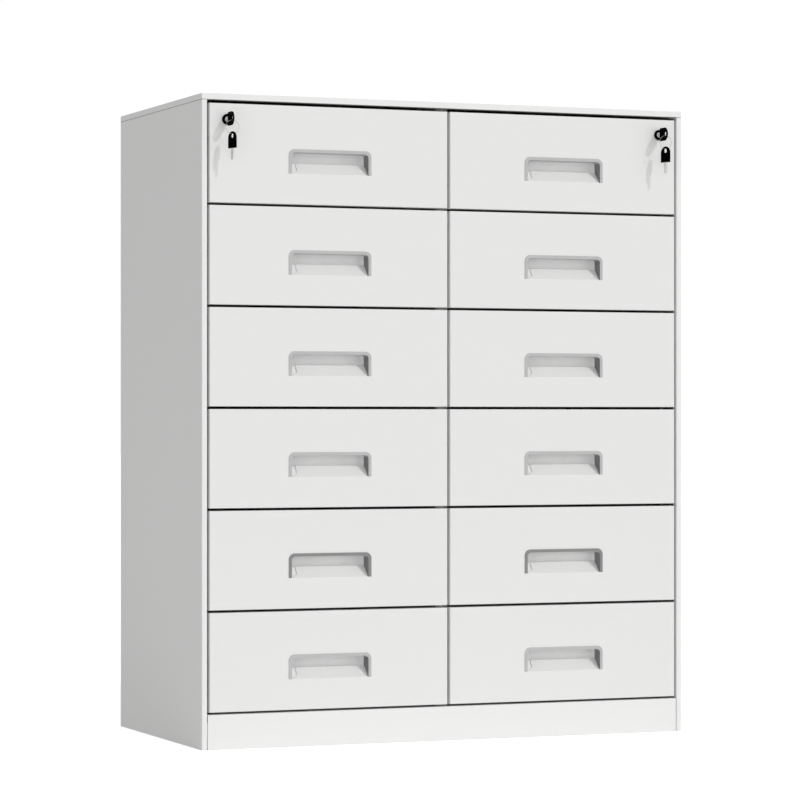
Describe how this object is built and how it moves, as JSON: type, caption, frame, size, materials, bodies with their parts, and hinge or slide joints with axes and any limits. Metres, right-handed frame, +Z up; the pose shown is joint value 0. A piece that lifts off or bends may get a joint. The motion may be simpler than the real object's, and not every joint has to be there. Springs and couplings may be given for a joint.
{
  "type": "microscope slide cabinet",
  "caption": "Free-standing sheet-steel slide cabinet: two columns of lockable drawers with recessed pulls on a flush plinth.",
  "frame": {"origin": "centre of the footprint, on the floor, under the centre base rail", "axes": "+Z up, +X to the viewer's right as one faces the drawers, +Y to the back; drawers open along -Y"},
  "size_m": [0.9, 0.4895, 1.1],
  "materials": {
    "carcass_coat": "satin white powder coat on steel sheet",
    "drawer_coat": "satin white powder coat on steel sheet",
    "zinc_steel": "zinc plated",
    "nylon": "natural nylon",
    "pull_plastic": "fine-textured grey plastic",
    "lock_black": "black finished die-cast metal",
    "lock_nickel": "bright nickel plate",
    "key_plastic": "black plastic bow over a nickel-plated blade"
  },
  "bodies": {
    "carcass": {"top_panel": "carcass_coat", "left_side_panel": "carcass_coat", "right_side_panel": "carcass_coat", "back_panel": "carcass_coat", "base_deck": "carcass_coat", "plinth": "carcass_coat", "base_rail": "carcass_coat", "centre_partition": "carcass_coat", "runner_posts": "zinc_steel", "cabinet_runners": "zinc_steel", "runner_glides": "nylon", "carcass_screws": "zinc_steel"},
    "drawer_left_1": {"drawer_front_left_1": "drawer_coat", "drawer_box_left_1": "drawer_coat", "drawer_pull_left_1": "pull_plastic"},
    "drawer_left_2": {"drawer_front_left_2": "drawer_coat", "drawer_box_left_2": "drawer_coat", "drawer_pull_left_2": "pull_plastic"},
    "drawer_left_3": {"drawer_front_left_3": "drawer_coat", "drawer_box_left_3": "drawer_coat", "drawer_pull_left_3": "pull_plastic"},
    "drawer_left_4": {"drawer_front_left_4": "drawer_coat", "drawer_box_left_4": "drawer_coat", "drawer_pull_left_4": "pull_plastic"},
    "drawer_left_5": {"drawer_front_left_5": "drawer_coat", "drawer_box_left_5": "drawer_coat", "drawer_pull_left_5": "pull_plastic"},
    "drawer_left_6": {"drawer_front_left_6": "drawer_coat", "drawer_box_left_6": "drawer_coat", "drawer_pull_left_6": "pull_plastic", "lock_barrel_left": "lock_black"},
    "lock_plug_left": {"lock_plug_left": "lock_nickel"},
    "key_left": {"key_left": "key_plastic"},
    "key_ring_left": {"key_ring_left": "lock_nickel"},
    "spare_key_left": {"spare_key_left": "key_plastic"},
    "lock_bar_left": {"lock_bar_left": "zinc_steel"},
    "drawer_right_1": {"drawer_front_right_1": "drawer_coat", "drawer_box_right_1": "drawer_coat", "drawer_pull_right_1": "pull_plastic"},
    "drawer_right_2": {"drawer_front_right_2": "drawer_coat", "drawer_box_right_2": "drawer_coat", "drawer_pull_right_2": "pull_plastic"},
    "drawer_right_3": {"drawer_front_right_3": "drawer_coat", "drawer_box_right_3": "drawer_coat", "drawer_pull_right_3": "pull_plastic"},
    "drawer_right_4": {"drawer_front_right_4": "drawer_coat", "drawer_box_right_4": "drawer_coat", "drawer_pull_right_4": "pull_plastic"},
    "drawer_right_5": {"drawer_front_right_5": "drawer_coat", "drawer_box_right_5": "drawer_coat", "drawer_pull_right_5": "pull_plastic"},
    "drawer_right_6": {"drawer_front_right_6": "drawer_coat", "drawer_box_right_6": "drawer_coat", "drawer_pull_right_6": "pull_plastic", "lock_barrel_right": "lock_black"},
    "lock_plug_right": {"lock_plug_right": "lock_nickel"},
    "key_right": {"key_right": "key_plastic"},
    "key_ring_right": {"key_ring_right": "lock_nickel"},
    "spare_key_right": {"spare_key_right": "key_plastic"},
    "lock_bar_right": {"lock_bar_right": "zinc_steel"}
  },
  "joints": [
    {"name": "drawer_left_1_slide", "type": "slide", "parent": "carcass", "child": "drawer_left_1", "axis": [0, -1, 0], "range_m": [0, 0.3]},
    {"name": "drawer_left_2_slide", "type": "slide", "parent": "carcass", "child": "drawer_left_2", "axis": [0, -1, 0], "range_m": [0, 0.3]},
    {"name": "drawer_left_3_slide", "type": "slide", "parent": "carcass", "child": "drawer_left_3", "axis": [0, -1, 0], "range_m": [0, 0.3]},
    {"name": "drawer_left_4_slide", "type": "slide", "parent": "carcass", "child": "drawer_left_4", "axis": [0, -1, 0], "range_m": [0, 0.3]},
    {"name": "drawer_left_5_slide", "type": "slide", "parent": "carcass", "child": "drawer_left_5", "axis": [0, -1, 0], "range_m": [0, 0.3]},
    {"name": "drawer_left_6_slide", "type": "slide", "parent": "carcass", "child": "drawer_left_6", "axis": [0, -1, 0], "range_m": [0, 0.3]},
    {"name": "lock_plug_left_turn", "type": "hinge", "parent": "drawer_left_6", "child": "lock_plug_left", "pos_m": [-0.405, -0.225, 1.057], "axis": [0, 1, 0], "range_deg": [0, 90]},
    {"name": "key_left_slide", "type": "slide", "parent": "lock_plug_left", "child": "key_left", "axis": [0, -1, 0], "range_m": [0, 0.02]},
    {"name": "key_ring_left_hang", "type": "hinge", "parent": "key_left", "child": "key_ring_left", "pos_m": [-0.4055, -0.2516, 1.0471], "axis": [0, 1, 0], "range_deg": [-90, 0]},
    {"name": "spare_key_left_swing", "type": "hinge", "parent": "key_ring_left", "child": "spare_key_left", "pos_m": [-0.405, -0.2516, 1.03055], "axis": [1, 0, 0], "range_deg": [-70, 24]},
    {"name": "lock_bar_left_lift", "type": "slide", "parent": "carcass", "child": "lock_bar_left", "axis": [0, 0, 1], "range_m": [0, 0.00905]},
    {"name": "drawer_right_1_slide", "type": "slide", "parent": "carcass", "child": "drawer_right_1", "axis": [0, -1, 0], "range_m": [0, 0.3]},
    {"name": "drawer_right_2_slide", "type": "slide", "parent": "carcass", "child": "drawer_right_2", "axis": [0, -1, 0], "range_m": [0, 0.3]},
    {"name": "drawer_right_3_slide", "type": "slide", "parent": "carcass", "child": "drawer_right_3", "axis": [0, -1, 0], "range_m": [0, 0.3]},
    {"name": "drawer_right_4_slide", "type": "slide", "parent": "carcass", "child": "drawer_right_4", "axis": [0, -1, 0], "range_m": [0, 0.3]},
    {"name": "drawer_right_5_slide", "type": "slide", "parent": "carcass", "child": "drawer_right_5", "axis": [0, -1, 0], "range_m": [0, 0.3]},
    {"name": "drawer_right_6_slide", "type": "slide", "parent": "carcass", "child": "drawer_right_6", "axis": [0, -1, 0], "range_m": [0, 0.3]},
    {"name": "lock_plug_right_turn", "type": "hinge", "parent": "drawer_right_6", "child": "lock_plug_right", "pos_m": [0.405, -0.225, 1.057], "axis": [0, 1, 0], "range_deg": [0, 90]},
    {"name": "key_right_slide", "type": "slide", "parent": "lock_plug_right", "child": "key_right", "axis": [0, -1, 0], "range_m": [0, 0.02]},
    {"name": "key_ring_right_hang", "type": "hinge", "parent": "key_right", "child": "key_ring_right", "pos_m": [0.4045, -0.2516, 1.0471], "axis": [0, 1, 0], "range_deg": [-90, 0]},
    {"name": "spare_key_right_swing", "type": "hinge", "parent": "key_ring_right", "child": "spare_key_right", "pos_m": [0.405, -0.2516, 1.03055], "axis": [1, 0, 0], "range_deg": [-70, 24]},
    {"name": "lock_bar_right_lift", "type": "slide", "parent": "carcass", "child": "lock_bar_right", "axis": [0, 0, 1], "range_m": [0, 0.00905]}
  ],
  "couplings": [
    {"joint": "lock_plug_left_turn", "follows": "lock_bar_left_lift", "rad_per_m": 173.55},
    {"joint": "key_ring_left_hang", "follows": "lock_bar_left_lift", "rad_per_m": -173.55},
    {"joint": "lock_plug_right_turn", "follows": "lock_bar_right_lift", "rad_per_m": 173.55},
    {"joint": "key_ring_right_hang", "follows": "lock_bar_right_lift", "rad_per_m": -173.55}
  ]
}
